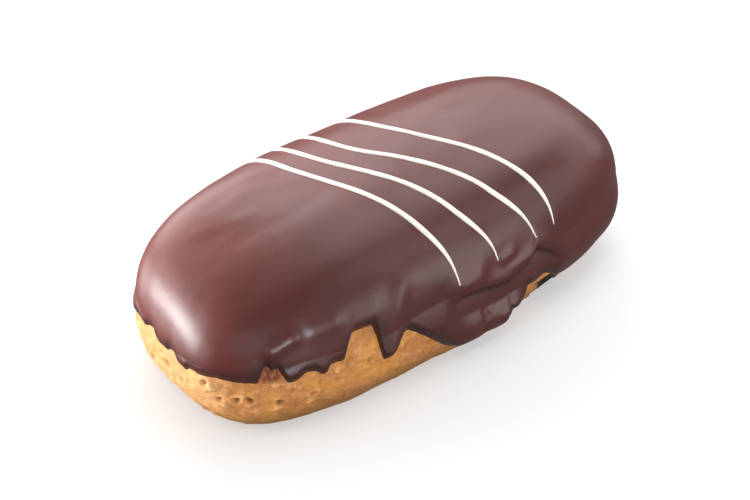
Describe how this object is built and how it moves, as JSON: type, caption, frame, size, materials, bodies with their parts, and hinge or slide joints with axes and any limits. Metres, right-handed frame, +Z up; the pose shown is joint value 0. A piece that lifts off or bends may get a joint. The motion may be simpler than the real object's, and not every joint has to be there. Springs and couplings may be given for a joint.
{
  "type": "mini chocolate eclair",
  "caption": "Oblong choux bun under poured chocolate icing that runs down unevenly, crossed on top by thin slanting white icing lines.",
  "frame": {"origin": "on the table, under the middle of the eclair's bounding box", "axes": "+X along the eclair's length, towards the end where the icing runs lower; +Z up; -Y is the long side where the icing has run down to the table"},
  "size_m": [0.0802, 0.0374, 0.0285],
  "materials": {
    "choux_crust": "baked choux pastry, golden tan with pale and brown patches, dry and finely pitted",
    "chocolate_icing": "set milk-dark chocolate icing, smooth with a soft satin gloss",
    "white_icing": "white icing in thin piped lines, smooth with a soft gloss"
  },
  "bodies": {
    "root": {"choux_bun": "choux_crust", "chocolate_icing": "chocolate_icing"}
  },
  "joints": []
}
